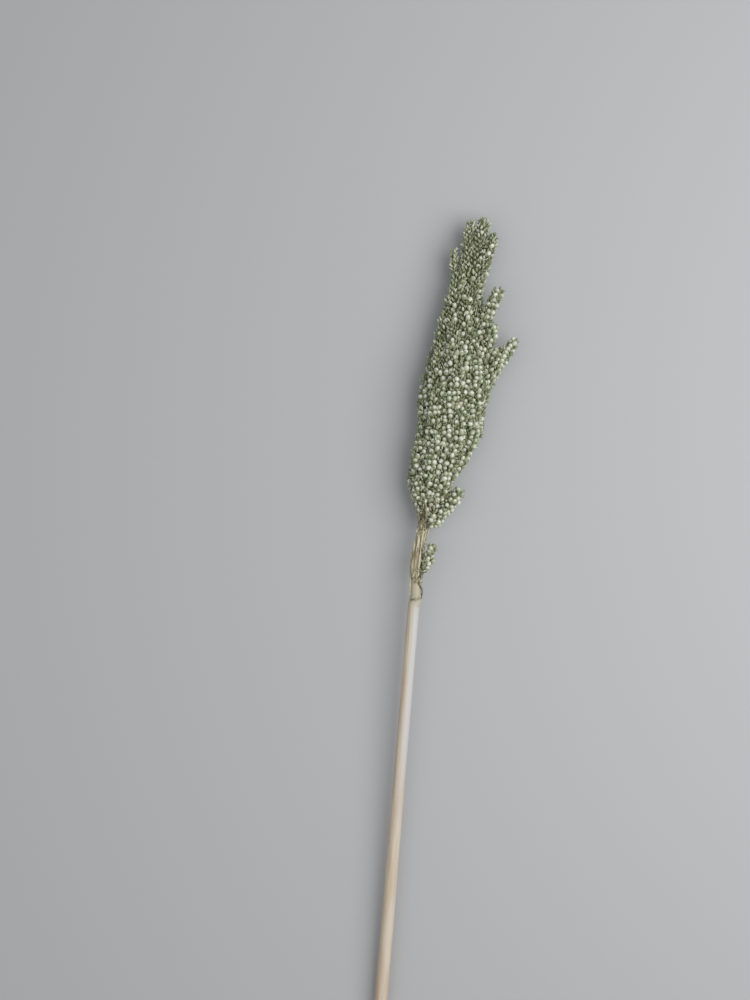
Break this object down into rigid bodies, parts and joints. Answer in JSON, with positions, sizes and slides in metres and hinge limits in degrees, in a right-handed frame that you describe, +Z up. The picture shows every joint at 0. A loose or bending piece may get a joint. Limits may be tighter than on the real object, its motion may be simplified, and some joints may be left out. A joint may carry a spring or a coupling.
{
  "type": "sorghum seed head",
  "caption": "Dried sorghum seed head, a dense upright spike of grain-covered branches on a bare straw stem, cut and lying on its side.",
  "frame": {"origin": "middle of the footprint, on the surface that the cut stem lies on", "axes": "+Y along the stem from its cut end to the tip of the head, +Z up, +X to the side that the longest free branch points to"},
  "size_m": [0.0676, 0.6572, 0.0351],
  "materials": {
    "straw": "dried straw, satin, streaked along its length",
    "grain": "pale sage grains in darker glumes, low satin"
  },
  "bodies": {
    "root": {"stem": "straw", "seed_head": "grain", "low_tuft": "grain"}
  },
  "joints": []
}
